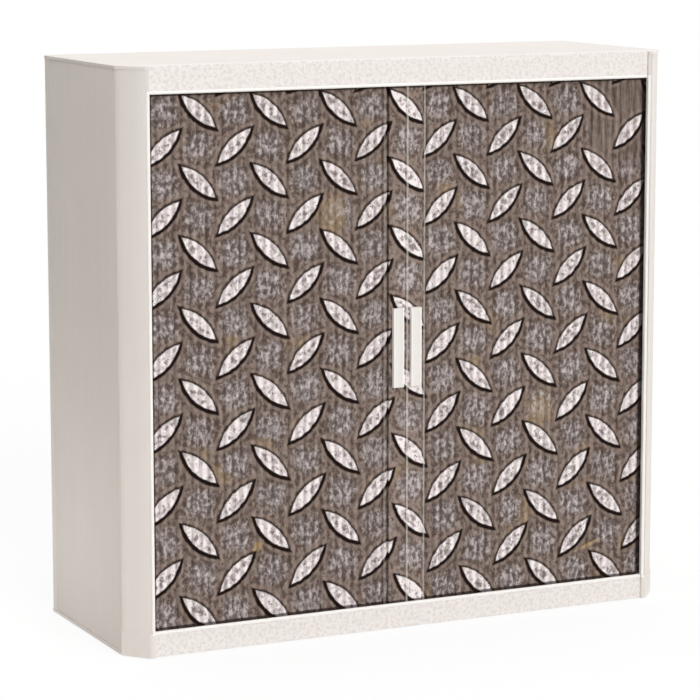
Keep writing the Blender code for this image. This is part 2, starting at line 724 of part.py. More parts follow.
def stile_outline(sign):
    """A lead stile from above: its face, a narrow rib, and the seal's tongue or groove."""
    near, far = MEET_GAP, STILE_WIDTH - SECTION_GAP / 2
    corner = -STILE_FRONT + STILE_CORNER
    points = arc((near + STILE_CORNER, corner), STILE_CORNER, 180, 270, HOOK_STEPS // 2)
    points += arc((STILE_FACE - STILE_CORNER, corner), STILE_CORNER, 270, 360, HOOK_STEPS // 2)
    points.append((STILE_FACE, -SLAT_FRONT + RIB_HEIGHT))
    points += ribbed_face(STILE_FACE + STILE_RIB_GAP, far, 1)
    points += bead_and_neck(far, STILE_WIDTH)
    points += [(far, STILE_BACK), (near, STILE_BACK)]
    if sign < 0:
        half, tip = SEAL_HALF, near - SEAL_REACH
    else:
        half, tip = SEAL_HALF + FIT_GAP, near + SEAL_REACH
    return points + [(near, half), (tip, half), (tip, -half), (near, -half)]


def make_curtain(side, sign):
    """The ribbed slat sections of one door, each hooked to the one before it; the last has no bead."""
    half = (SLAT_TOP - SLAT_BOTTOM) / 2
    for number in range(1, SECTIONS + 1):
        name = f"slat_section_{side}_{number:02d}"
        if number in (1, SECTIONS):
            points = [(sign * u, v) for u, v in section_outline(number < SECTIONS)]
            section = extruded(name, points, -half, half)
            place(section, CABINET, PRINT)
            smooth(section)
            pattern = section.data
        else:
            section = bpy.data.objects.new(name, pattern)
            CABINET.objects.link(section)
        x = STILE_WIDTH + (number - 1) * SECTION_PITCH
        section.location = (sign * x, TRACK_FRONT, (SLAT_TOP + SLAT_BOTTOM) / 2)


def handle_outline():
    """A pull bar from above, with round front edges and a shallow scoop along its face."""
    half = HANDLE_WIDTH / 2
    front = HANDLE_SETBACK - STILE_RECESS
    side = half - HANDLE_CORNER
    turn = front + HANDLE_CORNER
    points = [(-half, -FIT_GAP)]
    points += arc((-side, turn), HANDLE_CORNER, 180, 270, HOOK_STEPS // 2)
    for step in range(1, ARC_STEPS):
        share = step / ARC_STEPS
        depth = HANDLE_SCOOP * math.sin(math.pi * share)
        points.append((-side + 2 * side * share, front + depth))
    points += arc((side, turn), HANDLE_CORNER, 270, 360, HOOK_STEPS // 2)
    return points + [(half, -FIT_GAP)]


def handle_pegs(radius, length):
    """The two pegs behind a handle, from its back face, as one form."""
    form = bmesh.new()
    for sign in (-1, 1):
        z = sign * HANDLE_PEG_SPACING / 2
        add_rod(form, (0, -2 * JOIN, z), (0, length, z), radius)
    return form


def make_door(side, sign):
    """A lead stile with its groove tongues and its handle, on the empty that slides."""
    slide = bpy.data.objects.new(f"{side}_door_slide", None)
    slide.location = (0, TRACK_FRONT, MIDDLE)
    CABINET.objects.link(slide)
    half = (TOP_BOTTOM - BASE_TOP) / 2 - STILE_END_GAP
    points = [(sign * u, v) for u, v in stile_outline(sign)]
    stile = extruded(f"lead_stile_{side}", points, -half, half)
    stile.parent = slide
    near = sign * STILE_TONGUE_SETBACK
    far = sign * (STILE_WIDTH - STILE_TONGUE_SETBACK)
    low = (min(near, far), TRACK_FRONT - SLAT_FRONT + FIT_GAP, SLAT_BOTTOM)
    high = (max(near, far), TRACK_FRONT + SLAT_BACK, SLAT_TOP)
    boolean(stile, block(f"stile_tongue_{side}", low, high), "UNION")
    peg_y = TRACK_FRONT - STILE_FRONT
    place_of_handle = (sign * HANDLE_FROM_MEETING, peg_y, MIDDLE)
    holes = handle_pegs(HANDLE_PEG_RADIUS + PEG_CLEARANCE, HANDLE_PEG_LENGTH + FIT_GAP)
    boolean(stile, mesh_object(f"handle_holes_{side}", holes, place_of_handle), "DIFFERENCE")
    place(stile, CABINET, PRINT)
    smooth(stile)
    handle = extruded(f"handle_{side}", handle_outline(), -HANDLE_LENGTH / 2, HANDLE_LENGTH / 2)
    handle.parent = slide
    handle.location = Vector(place_of_handle) - slide.location
    bevel(handle, HANDLE_BEVEL)
    pegs = handle_pegs(HANDLE_PEG_RADIUS, HANDLE_PEG_LENGTH)
    boolean(handle, mesh_object(f"handle_pegs_{side}", pegs, place_of_handle), "UNION")
    place(handle, CABINET, HANDLE_WHITE)
    smooth(handle)


clear_scene()
CABINET = new_collection("tambour_door_cabinet")
CUTTERS = new_collection("cutters")
CUTTERS.hide_render = True
WHITE = new_material("off-white moulded plastic", (0.80, 0.77, 0.73), 0.55)
PRINT = new_material("printed tambour plastic", (0.20, 0.17, 0.15), 0.50)
HANDLE_WHITE = new_material("white handle plastic", (0.88, 0.87, 0.85), 0.40)
DARK = new_material("dark glide plastic", (0.05, 0.05, 0.05), 0.60)

make_top_panel()
make_base_panel()
make_feet()
make_posts()
make_panels()
make_liners()
make_pegs()
make_shelves()
for door_side, door_sign in (("left", -1), ("right", 1)):
    make_curtain(door_side, door_sign)
    make_door(door_side, door_sign)
bpy.context.view_layer.update()
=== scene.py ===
"""The looks of a tambour door cabinet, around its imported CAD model."""

import math

import bmesh
import bpy
from mathutils import Matrix, Vector


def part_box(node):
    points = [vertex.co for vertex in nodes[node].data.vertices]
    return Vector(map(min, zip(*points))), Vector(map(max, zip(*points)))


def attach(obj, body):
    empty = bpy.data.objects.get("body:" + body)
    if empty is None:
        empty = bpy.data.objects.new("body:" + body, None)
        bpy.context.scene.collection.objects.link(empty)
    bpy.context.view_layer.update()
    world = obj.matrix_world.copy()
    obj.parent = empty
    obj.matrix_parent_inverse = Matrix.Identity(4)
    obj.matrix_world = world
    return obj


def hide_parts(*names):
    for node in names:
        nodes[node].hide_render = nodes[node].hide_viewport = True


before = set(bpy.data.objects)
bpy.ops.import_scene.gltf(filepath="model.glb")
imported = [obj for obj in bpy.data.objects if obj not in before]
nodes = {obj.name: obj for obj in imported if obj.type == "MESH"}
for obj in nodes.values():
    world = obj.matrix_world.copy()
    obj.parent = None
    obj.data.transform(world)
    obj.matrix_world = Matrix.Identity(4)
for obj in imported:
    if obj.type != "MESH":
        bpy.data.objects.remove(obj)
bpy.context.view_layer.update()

# Places taken from the CAD nodes, in metres
SIDES = {"left": -1, "right": 1}
SECTIONS = 15
SECTION_LOW, SECTION_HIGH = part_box("slat_section_right_02")
NEXT_LOW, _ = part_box("slat_section_right_03")
SECTION_PITCH = NEXT_LOW.x - SECTION_LOW.x
SECTION_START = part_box("slat_section_right_01")[0].x
CURTAIN_FRONT = SECTION_LOW.y
CURTAIN_BACK = SECTION_HIGH.y
HANDLE_LOW, HANDLE_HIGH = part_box("handle_right")
HANDLE_MIDDLE = (HANDLE_LOW.x + HANDLE_HIGH.x) / 2
HANDLE_FLAT = 0.0155

# Curtain: ribs, their gaps and the stile's face
RIBS = 2
RIB_GAP = 0.0004
RIB_HEIGHT = 0.0020
RIB_STEPS = 14
RIB_POWER = 2.0
STILE_FACE = 0.034
STILE_FRONT = -0.192
STILE_CORNER = 0.0016
STILE_RIB_GAP = 0.0012
MEET_GAP = 0.0003
SLAT_MERGE = 0.00001
SLAT_WELD = 0.000005
SHARP = math.radians(40)

# Easing of the case panels' outer edges, and where their outer faces are
EASE = 0.0008
EASE_LENGTH = 0.02
PANEL_SIDE = 0.5475
PANEL_BACK = 0.2035
PANEL_WELD = 0.000001
PANEL_FLAT = math.radians(0.5)
PANEL_SHARP = math.radians(30)

# Case: the front of the fascias, and the lip round the opening
FASCIA_FRONT = -0.200
LIP_OUT = 0.5078
LIP_BAND = 0.005
FASCIA_END = 0.502
CORNER_IN = 0.5115
CORNER_OUT = 0.549
CORNER_BACK = -0.155
OPENING_MIDDLE = 0.52425
OPENING_HALF = 0.47675
FASCIA_PALE = (0.87, 0.83, 0.81)
FASCIA_DEEP = (0.75, 0.705, 0.68)
# Painted shade on the front bands beside the corners, above and below the opening
CORNER_BAND_SHADE = (0.775, 0.73, 0.70)
# Painted highlight on the lips round the opening and along the handles' rims
PAINTED_HIGHLIGHT = (0.95, 0.93, 0.905)
CASE_PALE, CASE_DEEP = (0.83, 0.78, 0.74), (0.79, 0.735, 0.695)
INNER_PALE, INNER_DEEP = (0.78, 0.74, 0.70), (0.71, 0.67, 0.63)
BAR_PALE, BAR_DEEP = (0.84, 0.81, 0.785), (0.80, 0.77, 0.74)
GLIDE_PALE, GLIDE_DEEP = (0.060, 0.058, 0.055), (0.030, 0.029, 0.028)
# Depths behind the fascias' front over which the front's colours fade in
FORWARD_FADE = (0.004, 0.002)
# Half widths over which the edges of painted areas blur
LINE_BLUR = 0.0005
SOFT_BLUR = 0.0010
CORNER_BLUR = 0.004
# Heights over which the sloping corners are painted lighter towards the top as painted light, and their least
# share of the pale colour and what is added
CORNER_HEIGHTS = (0.5, 1.05)
CORNER_LEAST, CORNER_MORE = 0.2, 0.6

# Camera, fitted to the edges of the cabinet in the photograph
VIEW_PLACE = (-2.3595, -4.8244, 1.3516)
VIEW_TURN = 0.44417
VIEW_TILT = -0.15006
VIEW_ROLL = -0.00171
LENS = 148.23
VIEW_SHIFT = (0.02992, -0.03637)

# Floor and surroundings: the light that they give back, not their colour to the camera
FLOOR_REACH = 30
FLOOR_GLOW = 0.85
FLOOR_BOUNCE = (0.70, 0.68, 0.645)
AMBIENT = (0.126, 0.1195, 0.110)
# Lamps: name, direction that it shines from, spread in degrees, strength
LAMPS = (
    ("key window", (0.05, -1.0, 0.42), 40, 1.86),
    ("side window", (1.0, -0.1, 0.15), 50, 0.6),
    ("overhead window", (0.0, 0.05, 1.0), 60, 1.97),
)
# The light that a pale card on the floor to the left gives back
CARD_PLACE = (-0.95, 0.10, 0.03)
CARD_TARGET = (-0.55, 0.08, 0.06)
CARD_SIZE = 0.4
CARD_WATTS = 0.68


class Signal:
    """A node's output. Python's operators on it add Math nodes."""

    def __init__(self, sheet, socket):
        self.sheet = sheet
        self.socket = socket

    def math(self, operation, *others):
        """A Math node on this signal and others, which may be numbers."""
        inputs = dict(enumerate((self, *others)))
        return self.sheet.add("ShaderNodeMath", {"operation": operation}, inputs)

    def __add__(self, other):
        return self.math("ADD", other)

    def __radd__(self, other):
        return self.math("ADD", other)

    def __sub__(self, other):
        return self.math("SUBTRACT", other)

    def __rsub__(self, other):
        return (self * -1).math("ADD", other)

    def __mul__(self, other):
        return self.math("MULTIPLY", other)

    def __rmul__(self, other):
        return self.math("MULTIPLY", other)

    def __truediv__(self, other):
        return self.math("DIVIDE", other)

    def __abs__(self):
        return self.math("ABSOLUTE")

    def step(self, low, high, to_low=0.0, to_high=1.0):
        """Runs smoothly from to_low to to_high as the signal runs from low to high."""
        settings = {"interpolation_type": "SMOOTHSTEP"}
        inputs = {"Value": self, "From Min": low, "From Max": high, "To Min": to_low, "To Max": to_high}
        return self.sheet.add("ShaderNodeMapRange", settings, inputs)

    def below(self, limit, blur):
        """1 where the signal is under the limit and 0 over it."""
        return self.step(limit + blur, limit - blur)


class Sheet:
    """A node tree, to which one method adds every kind of node."""

    def __init__(self, tree):
        self.tree = tree

    def add(self, kind, settings=None, inputs=None, output=0):
        """A node with its settings, its inputs' values or links, and the output that is asked for."""
        node = self.tree.nodes.new(kind)
        for name, value in (settings or {}).items():
            setattr(node, name, value)
        for key, value in (inputs or {}).items():
            for item in value if isinstance(value, list) else [value]:
                if isinstance(item, Signal):
                    self.tree.links.new(item.socket, node.inputs[key])
                else:
                    node.inputs[key].default_value = item
        return Signal(self, node.outputs[output])

    def blend(self, factor, first, second):
        """A colour between two, each a signal or an (r, g, b)."""
        colours = [c if isinstance(c, Signal) else (*c, 1) for c in (first, second)]
        inputs = {0: factor, 6: colours[0], 7: colours[1]}
        return self.add("ShaderNodeMix", {"data_type": "RGBA"}, inputs, 2)

    def part(self, vector, axis):
        """One of a vector's three numbers."""
        return self.add("ShaderNodeSeparateXYZ", {}, {0: vector}, axis)

    def noise(self, place, scale, detail=3, roughness=0.55, stretch=None):
        """Noise over a place, drawn out where stretch is under 1."""
        if stretch:
            place = self.add("ShaderNodeVectorMath", {"operation": "MULTIPLY"}, {0: place, 1: stretch})
        inputs = {"Vector": place, "Scale": scale, "Detail": detail, "Roughness": roughness}
        return self.add("ShaderNodeTexNoise", {}, inputs)


def highest(signals):
    """The highest of some signals at each point."""
    result, *others = signals
    for other in others:
        result = result.math("MAXIMUM", other)
    return result


def screen(red, green, blue):
    """A colour as a screen's 0 to 255 numbers give it, made linear for the shader."""
    shares = [c / 255 for c in (red, green, blue)]
    return tuple(c / 12.92 if c <= 0.04045 else ((c + 0.055) / 1.055) ** 2.4 for c in shares)


def start_material(name, **constants):
    """A material with its Principled shader's constants set, its sheet and Object coordinates."""
    material = bpy.data.materials.new(name)
    material.use_nodes = True
    shader = material.node_tree.nodes["Principled BSDF"]
    for socket, value in constants.items():
        shader.inputs[socket.replace("_", " ")].default_value = value
    sheet = Sheet(material.node_tree)
    place = sheet.add("ShaderNodeTexCoord", {}, {}, 3)
    return material, shader, sheet, place


def connect(sheet, shader, **signals):
    """Links signals to a shader's sockets."""
    for socket, signal in signals.items():
        sheet.tree.links.new(signal.socket, shader.inputs[socket.replace("_", " ")])


def bump(sheet, height, strength, distance):
    """A Normal that follows a height."""
    inputs = {"Height": height, "Strength": strength, "Distance": distance}
    return sheet.add("ShaderNodeBump", {}, inputs)


def moulded_plastic(name, pale, deep, roughness, grain=1.0, cased=False, highlit_rims=False):
    """Off-white moulded plastic: a fine grain, faint clouds and dust; on the handles painted highlights along
    the rims; on the case specks on the fascias, painted highlights on the lips round the opening, painted shade
    on the front bands beside the corners, and painted light on the sloping corners that grows towards the top
    and the front.
    """
    material, shader, sheet, place = start_material(name, Specular_IOR_Level=0.3)
    clouds = sheet.noise(place, 9, 4, 0.6).step(0.35, 0.65)
    grains = sheet.noise(place, 900, 2, 0.6)
    drawn = sheet.noise(place, 120, 3, 0.6, stretch=(1.0, 1.0, 0.02))
    dust = sheet.noise(place, 230, 3, 0.7).step(0.62, 0.76)
    tint = clouds * 0.35 + grains.step(0.42, 0.60) * 0.35 + drawn.step(0.42, 0.58) * 0.3
    colour = sheet.blend(dust * 0.3, sheet.blend(tint, deep, pale), deep)
    relief = grains + clouds * 0.2
    if highlit_rims:
        # Painted highlight: pale rims along both edges of each handle's face
        off_middle = abs(abs(sheet.part(place, 0)) - HANDLE_MIDDLE)
        rim_highlight = off_middle.step(HANDLE_FLAT / 2 - SOFT_BLUR, HANDLE_FLAT / 2 + SOFT_BLUR)
        colour = sheet.blend(rim_highlight, colour, PAINTED_HIGHLIGHT)
    if cased:
        x = abs(sheet.part(place, 0))
        y = sheet.part(place, 1)
        z = sheet.part(place, 2)
        forward = y.step(*(FASCIA_FRONT + depth for depth in FORWARD_FADE))
        front = forward * x.below(LIP_OUT, LINE_BLUR)
        # Painted light: the sloping corners lighter towards their front edge and towards the top
        sloping = y.below(CORNER_BACK, CORNER_BLUR) * x.step(CORNER_OUT, CORNER_IN)
        paler = z.step(*CORNER_HEIGHTS) * CORNER_MORE + CORNER_LEAST
        colour = sheet.blend(sloping * paler, colour, FASCIA_PALE)
        # Painted shade: the front band beside each corner, darkened as if it turned away from the light
        colour = sheet.blend(forward * x.below(CORNER_IN, SOFT_BLUR), colour, CORNER_BAND_SHADE)
        between = front * x.below(FASCIA_END, LINE_BLUR)
        specks = sheet.noise(place, 150, 3, 0.65)
        fascia = sheet.blend(specks.step(0.38, 0.56), FASCIA_DEEP, FASCIA_PALE)
        colour = sheet.blend(between, colour, fascia)
        relief = relief + between * specks * 1.5
        # Painted highlight: the lips round the opening, made pale over the opening's height
        lip_highlight_height = abs(z - OPENING_MIDDLE).below(OPENING_HALF + LIP_BAND, LINE_BLUR)
        colour = sheet.blend(front * lip_highlight_height, colour, PAINTED_HIGHLIGHT)
    rough = grains.step(0.3, 0.7, roughness - 0.07, roughness + 0.07)
    normal = bump(sheet, relief, 0.10 * grain, 0.0004)
    connect(sheet, shader, Base_Color=colour, Roughness=rough, Normal=normal)
    return material


# Tread-plate print: cells of the pattern at the door's middle, and each bar's two arcs
CELL_WIDTH = 0.13756
CELL_HEIGHT = 0.12833
BAR_RADIUS = 0.0833
BAR_OFFSET = 0.0701
BACK_SLANT = -42.6
FORE_SLANT = 44.1
# Counts of half cells, as a sum over 1, x, z, x*x, x*z and z*z, with z from the door's middle
COLUMN_TERMS = (-0.112, 14.539, 0.223, 0.175, 0.720, -0.042)
ROW_TERMS = (7.407, -0.040, -15.585, 0.100, -0.072, -0.763)
PATTERN_MIDDLE = 0.5
GROUND_DEEP, GROUND_PALE = screen(97, 82, 75), screen(147, 132, 124)
SCUFF_DEEP, SCUFF_PALE = screen(110, 99, 96), screen(201, 192, 193)
STEEL_DEEP, STEEL_PALE = screen(146, 134, 133), screen(248, 239, 240)
STEEL_RIM = screen(248, 240, 241)
HALO, RUST = screen(154, 137, 127), screen(178, 152, 114)
OUTLINE, SEAM_AND_HIGHLIGHT = screen(24, 11, 7), screen(215, 212, 205)
# The shift of the dark line off its bar, for each slant
BACK_SHIFT, FORE_SHIFT = 0.0016, 0.0006
WAVER = 0.003
# Distances from a bar's edge, outwards over 0, at which a mark is absent and at which it is full
LINE_BAND = (0.0059, 0.0034)
SHADE_BAND = (0.030, 0.010)
HALO_INNER, HALO_OUTER = (0.0045, 0.0075), (0.0130, 0.0085)
STEEL_BAND = (0.0003, -0.0021)
RIM_BAND = (-0.0078, -0.0046)
# On the upper side of a bar the dark line is thinner and paler
UPPER_THINNER, UPPER_PALER = 0.0006, 0.25
# The brushed corner at the top right: where it starts, and how far it fades
BRUSHED_X, BRUSHED_Z = 0.380, 0.34
BRUSHED_FADE_X, BRUSHED_FADE_Z = 0.015, 0.03
# Each mark's share in the colour
BRUSHED_SHARE, HALO_SHARE, RUST_SHARE, SHADE_SHARE = 0.8, 0.7, 0.42, 0.10
RIM_SHARE, GROOVE_SHADE_SHARE, CONTACT_SHADOW_SHARE = 0.5, 0.27, 0.8
# Where the painted shade in the rib valleys starts, beside the stiles
GROOVE_SHADE_START = (STILE_FACE, STILE_FACE + 0.002)
# Painted shadow: dark lines where the curtain meets the opening's edges, absent and full
TOP_CONTACT, BOTTOM_CONTACT = (0.9955, 0.9975), (0.0525, 0.0505)
RIGHT_CONTACT, LEFT_CONTACT = (0.4993, 0.5008), (-0.4925, -0.4945)
# Pale lines: an unprinted seam where the doors meet, and painted highlights on the crests of the narrow ribs
# beside the stiles: x, half width, share
PALE_LINE_CORE = 0.0008
SEAMS_AND_HIGHLIGHTS = (
    (0.0030, 0.0030, 0.42),
    (STILE_FACE + 0.0060, 0.0024, 0.36),
    (-STILE_FACE - 0.0070, 0.0024, 0.15),
)
# Old stains on the print: x, z, half width, half height, slope, strength
STAINS = (
    (-0.295, 0.180, 0.009, 0.009, 0.0, 0.9),
    (0.392, 0.114, 0.030, 0.004, 0.35, 0.9),
    (-0.145, 0.775, 0.030, 0.045, 0.0, 0.42),
    (0.285, 0.385, 0.030, 0.035, 0.0, 0.42),
)


def lozenge_distance(column, row, angle, shift):
    """How far outside a pointed bar's edge and its dark line's, negative inside; and 1 on the upper side."""
    across, along = math.cos(math.radians(angle)), math.sin(math.radians(angle))
    near_x = (column - column.math("ROUND")) * CELL_WIDTH
    near_z = (row - row.math("ROUND")) * -CELL_HEIGHT
    length = near_x * across + near_z * along
    width = near_z * across - near_x * along
    bow = abs(width) + BAR_OFFSET
    shifted = abs(width + shift) + BAR_OFFSET
    inner = (length * length + bow * bow).math("SQRT") - BAR_RADIUS
    outer = (length * length + shifted * shifted).math("SQRT") - BAR_RADIUS
    return inner, outer, width.step(-0.002, 0.004)


def tread_print():
    """Plastic printed with worn raised-bar floor plate: bars, dark edges, halos and scuffed squares; with
    painted shade in the valleys between the ribs, painted shadow along the opening's edges and painted
    highlights on the crests of the narrow ribs beside the stiles.
    """
    name = "tread-plate print on plastic"
    material, shader, sheet, place = start_material(name, Specular_IOR_Level=0.06)
    x = sheet.part(place, 0)
    height = sheet.part(place, 2)
    z = height - PATTERN_MIDDLE
    terms = (x, z, x * x, x * z, z * z)
    column, row = (
        sum((term * share for term, share in zip(terms, shares[1:])), shares[0])
        for shares in (COLUMN_TERMS, ROW_TERMS)
    )
    back, back_edge, back_upper = lozenge_distance(column / 2, row / 2, BACK_SLANT, BACK_SHIFT)
    between = (column - 1) / 2, (row - 1) / 2
    fore, fore_edge, fore_upper = lozenge_distance(*between, FORE_SLANT, FORE_SHIFT)
    waver = (sheet.noise(place, 90, 2, 0.5) - 0.5) * WAVER
    inside = back.math("MINIMUM", fore) + waver
    outside = back_edge.math("MINIMUM", fore_edge) + waver
    upper = fore_upper + (back_upper - fore_upper) * (fore - back).step(-0.0005, 0.0005)

    blotches = sheet.noise(place, 100, 3, 0.62)
    streaks = sheet.noise(place, 165, 3, 0.6, stretch=(1.0, 1.0, 0.62))
    grit = sheet.noise(place, 420, 2, 0.6)
    mottle = streaks * 0.62 + blotches * 0.38
    broad = sheet.noise(place, 11, 2, 0.5)

    square = (column * math.pi).math("COSINE") * (row * math.pi).math("COSINE") * -1
    square = (square + (blotches - 0.5) * 1.2).step(-0.05, 0.95) * broad.step(0.30, 0.50, 0.65, 1.0)
    bare = (x - BRUSHED_X).step(-BRUSHED_FADE_X, BRUSHED_FADE_X)
    bare = bare * (z - BRUSHED_Z).step(-BRUSHED_FADE_Z, BRUSHED_FADE_Z)
    square = square * (1 - bare)
    brushed = sheet.noise(place, 260, 3, 0.6, stretch=(1.0, 1.0, 0.10)) * 0.45 + 0.275
    mottle = mottle + (brushed - mottle) * bare * BRUSHED_SHARE
    ground = sheet.blend(mottle.step(0.42, 0.58), GROUND_DEEP, GROUND_PALE)
    scuffed = sheet.blend(mottle.step(0.42, 0.63), SCUFF_DEEP, SCUFF_PALE)
    colour = sheet.blend(square, ground, scuffed)
    halo = outside.step(*HALO_INNER) * outside.step(*HALO_OUTER)
    colour = sheet.blend(halo * HALO_SHARE, colour, HALO)

    rusts = [sheet.noise(place, 14, 3, 0.6).step(0.60, 0.74) * (1 - square) * RUST_SHARE]
    for stain_x, stain_z, half_width, half_height, slope, strength in STAINS:
        over = (x - stain_x) / half_width
        up = (z - (stain_z - PATTERN_MIDDLE) - (x - stain_x) * slope) / half_height
        stain = (over * over + up * up + (blotches - 0.5) * 4).step(1.2, 0.3)
        rusts.append(stain * strength)
    colour = sheet.blend(highest(rusts), colour, RUST)
    shade = outside.step(*SHADE_BAND) * (1 - upper)
    colour = sheet.blend(shade * SHADE_SHARE, colour, OUTLINE)

    line = (outside + upper * UPPER_THINNER).step(*LINE_BAND) * (1 - upper * UPPER_PALER)
    colour = sheet.blend(line, colour, OUTLINE)
    worn = mottle * 0.5 + blotches * 0.3 + sheet.noise(place, 38, 2, 0.5) * 0.2
    steel = sheet.blend(worn.step(0.41, 0.55), STEEL_DEEP, STEEL_PALE)
    steel = sheet.blend(inside.step(*RIM_BAND) * RIM_SHARE, steel, STEEL_RIM)
    pits = sheet.noise(place, 300, 2, 0.5).step(0.62, 0.70) * sheet.noise(place, 45, 1).step(0.50, 0.60)
    steel = sheet.blend(pits, steel, GROUND_DEEP)
    colour = sheet.blend(inside.step(*STEEL_BAND), colour, steel)

    # Painted shade: the print darkened in the valleys between the ribs
    rib = ((abs(x) - SECTION_START) * (RIBS / SECTION_PITCH) * math.tau).math("COSINE")
    groove_shade = rib.step(-0.9, 0.9) * abs(x).step(*GROOVE_SHADE_START)
    colour = sheet.blend(groove_shade * GROOVE_SHADE_SHARE, colour, OUTLINE)
    # Painted shadow along the opening's edges, where the lips shade the curtain
    contact_shadows = [height.step(*TOP_CONTACT), height.step(*BOTTOM_CONTACT)]
    contact_shadows += [x.step(*RIGHT_CONTACT), x.step(*LEFT_CONTACT)]
    colour = sheet.blend(highest(contact_shadows) * CONTACT_SHADOW_SHARE, colour, OUTLINE)
    # An unprinted seam where the doors meet, and painted highlights on the narrow ribs' crests
    seams_and_highlights = [abs(x - middle).step(half, PALE_LINE_CORE) * share for middle, half, share in SEAMS_AND_HIGHLIGHTS]
    colour = sheet.blend(highest(seams_and_highlights), colour, SEAM_AND_HIGHLIGHT)

    rough = mottle.step(0.35, 0.65, 0.58, 0.46)
    connect(sheet, shader, Base_Color=colour, Roughness=rough, Normal=bump(sheet, grit, 0.06, 0.0003))
    return material


def glide_rubber():
    """Dark matt plastic with a fine grain."""
    material, shader, sheet, place = start_material("dark glide plastic", Specular_IOR_Level=0.3)
    grains = sheet.noise(place, 700, 3)
    colour = sheet.blend(grains.step(0.35, 0.65), GLIDE_DEEP, GLIDE_PALE)
    rough = grains.step(0.3, 0.7, 0.55, 0.72)
    connect(sheet, shader, Base_Color=colour, Roughness=rough, Normal=bump(sheet, grains, 0.2, 0.0003))
    return material


def new_object(name, mesh):
    """An object for a mesh or a lamp or camera, in the scene."""
    obj = bpy.data.objects.new(name, mesh)
    bpy.context.scene.collection.objects.link(obj)
    return obj


def finish_mesh(obj):
    """Drops an object's modifiers into its mesh, and shades it smooth but for sharp edges."""
    graph = bpy.context.evaluated_depsgraph_get()
    graph.update()
    mesh = bpy.data.meshes.new_from_object(obj.evaluated_get(graph))
    mesh.name = obj.name
    obj.modifiers.clear()
    obj.data = mesh
    mesh.shade_smooth()
    mesh.set_sharp_from_angle(angle=SHARP)


def slat_tree():
    """Geometry nodes that stand slats side by side, each a closed solid with round ribs on its face."""
    tree = bpy.data.node_groups.new("row of slats", "GeometryNodeTree")
    names = {}
    for name, kind in (
        ("Slats", "NodeSocketInt"),
        ("Ribs", "NodeSocketInt"),
        ("Rib Steps", "NodeSocketInt"),
        ("Start", "NodeSocketFloat"),
        ("Pitch", "NodeSocketFloat"),
        ("Gap", "NodeSocketFloat"),
        ("Height", "NodeSocketFloat"),
        ("Front", "NodeSocketFloat"),
        ("Back", "NodeSocketFloat"),
        ("Rise", "NodeSocketFloat"),
        ("Bottom", "NodeSocketFloat"),
        ("Material", "NodeSocketMaterial"),
    ):
        names[name] = tree.interface.new_socket(name, in_out="INPUT", socket_type=kind).identifier
    tree.interface.new_socket("Geometry", in_out="OUTPUT", socket_type="NodeSocketGeometry")
    sheet = Sheet(tree)
    group = tree.nodes.new("NodeGroupInput")
    given = {name: Signal(sheet, group.outputs[name]) for name in names}
    width = given["Pitch"] - given["Gap"]
    across = given["Ribs"] * given["Rib Steps"] + 1
    inputs = {"Size X": width, "Size Y": given["Height"], "Vertices X": across, "Vertices Y": 2}
    face = sheet.add("GeometryNodeMeshGrid", {}, inputs)
    face = sheet.add("GeometryNodeTransform", {}, {"Geometry": face, "Rotation": (math.pi / 2, 0, 0)})
    position = sheet.add("GeometryNodeInputPosition")
    share = sheet.part(position, 0) / width + 0.5
    off_crest = abs((share * given["Ribs"]).math("FRACT") * 2 - 1)
    rise = (1 - off_crest.math("POWER", RIB_POWER)) * given["Rise"]
    offset = sheet.add("ShaderNodeCombineXYZ", {}, {1: given["Front"] + given["Rise"] - rise})
    face = sheet.add("GeometryNodeSetPosition", {}, {"Geometry": face, "Offset": offset})
    deep = tree.nodes.new("GeometryNodeExtrudeMesh")
    deep.inputs["Individual"].default_value = False
    depth = sheet.add("ShaderNodeCombineXYZ", {}, {1: given["Back"] - given["Front"]})
    for key, value in (("Mesh", face), ("Offset", depth)):
        tree.links.new(value.socket, deep.inputs[key])
    deep.inputs["Offset Scale"].default_value = 1.0
    flat = {0: sheet.part(position, 0), 1: given["Back"], 2: sheet.part(position, 2)}
    inputs = {
        "Geometry": Signal(sheet, deep.outputs["Mesh"]),
        "Selection": Signal(sheet, deep.outputs["Top"]),
        "Position": sheet.add("ShaderNodeCombineXYZ", {}, flat),
    }
    back = sheet.add("GeometryNodeSetPosition", {}, inputs)
    closed = sheet.add("GeometryNodeJoinGeometry", {}, {0: [face, back]})
    closed = sheet.add("GeometryNodeMergeByDistance", {}, {"Geometry": closed, "Distance": SLAT_MERGE})
    step = sheet.add("ShaderNodeCombineXYZ", {}, {0: given["Pitch"]})
    middle = {0: given["Start"] + given["Pitch"] / 2, 2: given["Bottom"] + given["Height"] / 2}
    first = sheet.add("ShaderNodeCombineXYZ", {}, middle)
    inputs = {"Count": given["Slats"], "Start Location": first, "Offset": step}
    row = sheet.add("GeometryNodeMeshLine", {}, inputs)
    slats = sheet.add("GeometryNodeInstanceOnPoints", {}, {"Points": row, "Instance": closed})
    slats = sheet.add("GeometryNodeRealizeInstances", {}, {0: slats})
    done = sheet.add("GeometryNodeSetMaterial", {}, {"Geometry": slats, "Material": given["Material"]})
    output = tree.nodes.new("NodeGroupOutput")
    tree.links.new(done.socket, output.inputs[0])
    return tree, names


def outward(mesh):
    """Merges doubles and turns every face outwards."""
    form = bmesh.new()
    form.from_mesh(mesh)
    bmesh.ops.remove_doubles(form, verts=form.verts, dist=SLAT_WELD)
    bmesh.ops.recalc_face_normals(form, faces=form.faces)
    form.to_mesh(mesh)
    form.free()


